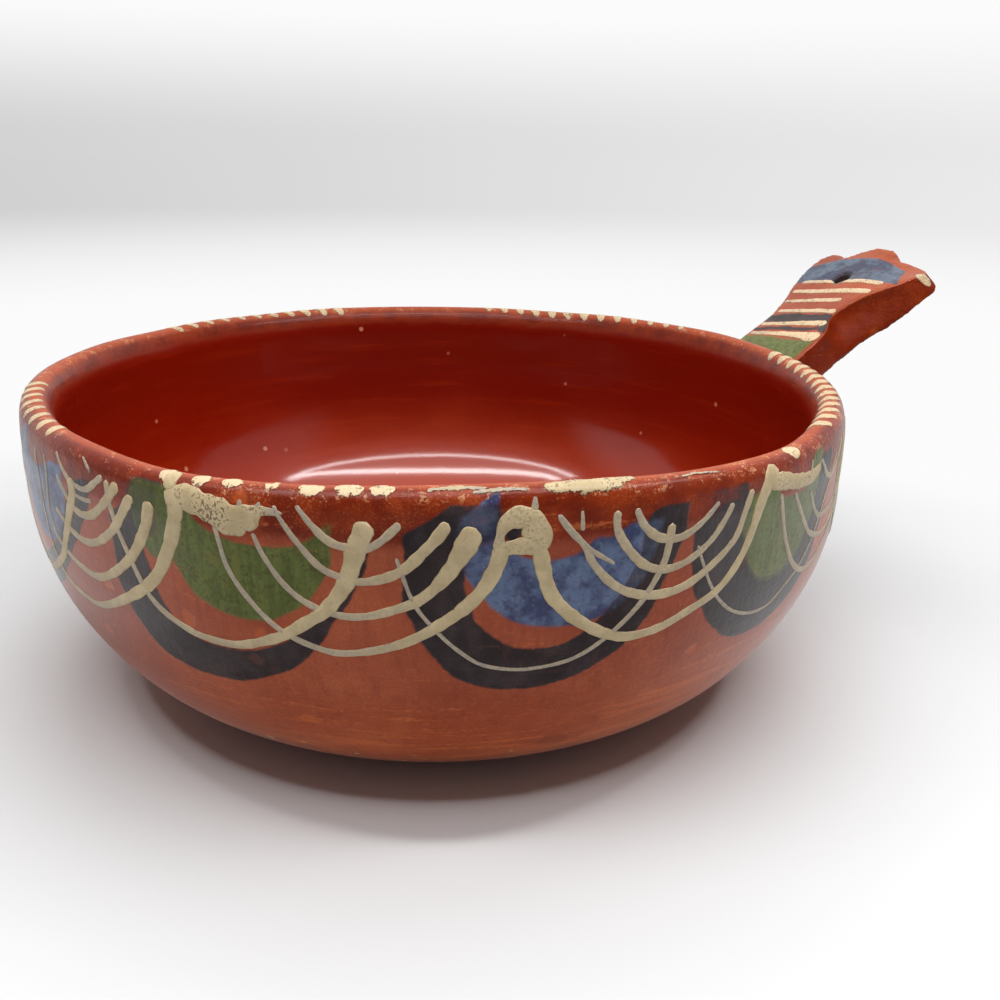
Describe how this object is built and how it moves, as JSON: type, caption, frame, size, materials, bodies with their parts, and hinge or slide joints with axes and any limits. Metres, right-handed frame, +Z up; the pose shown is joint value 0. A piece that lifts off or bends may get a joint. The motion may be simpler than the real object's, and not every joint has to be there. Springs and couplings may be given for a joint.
{
  "type": "handled casserole dish",
  "caption": "Round open earthenware casserole with a flat foot, a rounded coil rim and a rising slab handle with a scalloped end and a hanging hole.",
  "frame": {"origin": "centre of the flat foot, on the bowl's axis, where the dish stands", "axes": "+Z up along the bowl's axis, +X from the bowl's axis towards the handle"},
  "size_m": [0.2784, 0.212, 0.1023],
  "materials": {
    "glazed_clay": "red earthenware under a thin clear glaze, glossy inside and on the handle's edges, satin and worn outside",
    "slip_painted_clay": "burnished red earthenware with trailed cream slip and brushed dark, green and blue slips, worn on the edges"
  },
  "bodies": {
    "root": {"bowl": "glazed_clay", "rim_coil": "slip_painted_clay", "handle": "glazed_clay", "luting_coil": "slip_painted_clay"}
  },
  "joints": []
}
